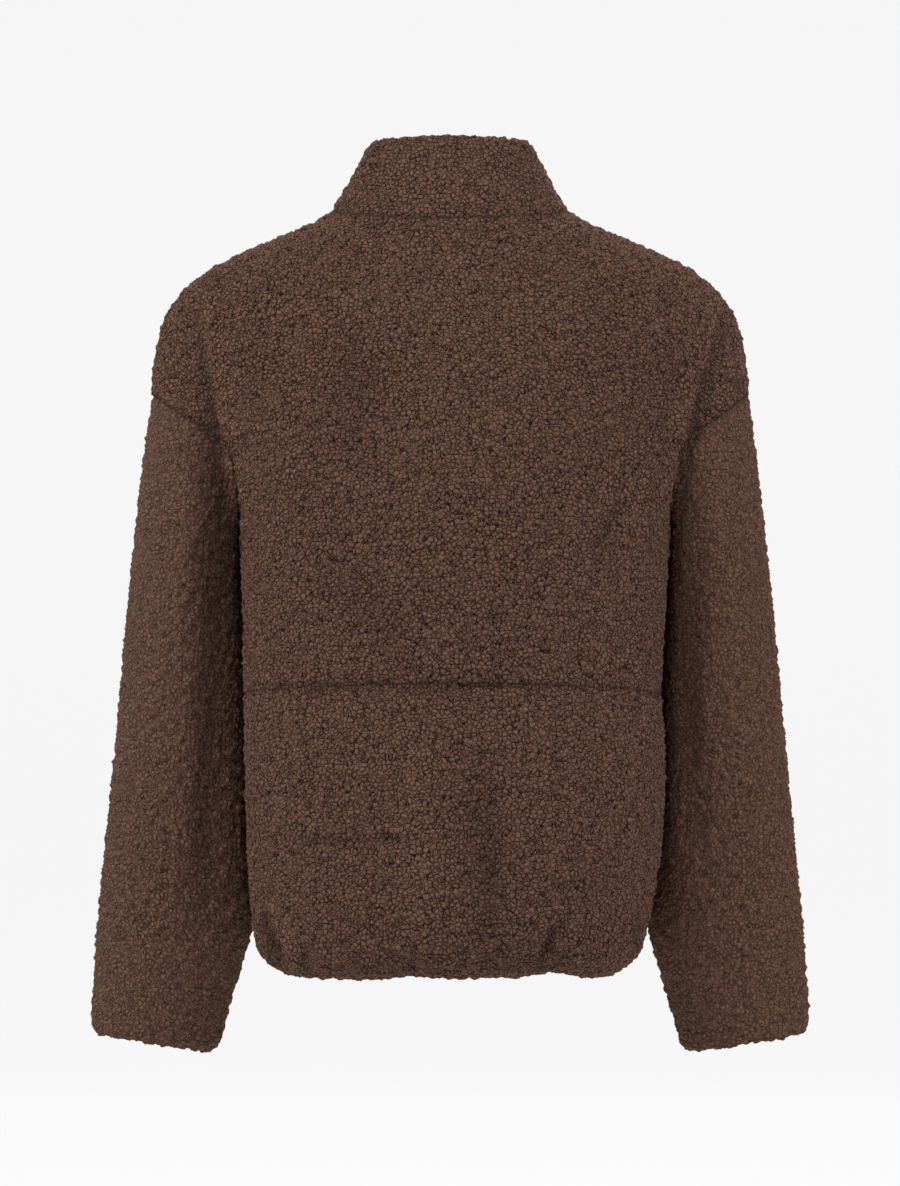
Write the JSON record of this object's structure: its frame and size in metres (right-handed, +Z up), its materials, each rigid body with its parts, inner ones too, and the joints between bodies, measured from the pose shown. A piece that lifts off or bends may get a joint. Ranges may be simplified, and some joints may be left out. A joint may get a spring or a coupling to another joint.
{
  "type": "boucle jacket",
  "caption": "Hip-length boucle fleece jacket with a stand collar, dropped shoulders, seamed back, gathered hem and a full front zip, held in its worn shape.",
  "frame": {"origin": "centre of the neck, level with the collar's seam at the back, where the wearer's shoulders hold the jacket", "axes": "+Z up, -Y to the wearer's front, +X to the wearer's left"},
  "size_m": [0.612, 0.2432, 0.773],
  "materials": {
    "boucle": "curly looped pile, dark brown",
    "zip_tape": "woven tape, dark brown",
    "dark_metal": "darkened metal, satin"
  },
  "bodies": {
    "jacket": {"back_upper": "boucle", "back_lower": "boucle", "front_left": "boucle", "front_right": "boucle", "sleeve_left": "boucle", "sleeve_right": "boucle", "collar": "boucle", "zip_tape_left": "zip_tape", "zip_tape_right": "zip_tape", "zip_teeth": "dark_metal", "zip_slider": "dark_metal", "zip_box": "dark_metal"},
    "pull_tab": {"zip_pull": "dark_metal"}
  },
  "joints": [
    {"name": "pull_hinge", "type": "hinge", "parent": "jacket", "child": "pull_tab", "pos_m": [0, -0.0631, -0.0042], "axis": [-1, 0, 0], "range_deg": [0, 165]}
  ]
}
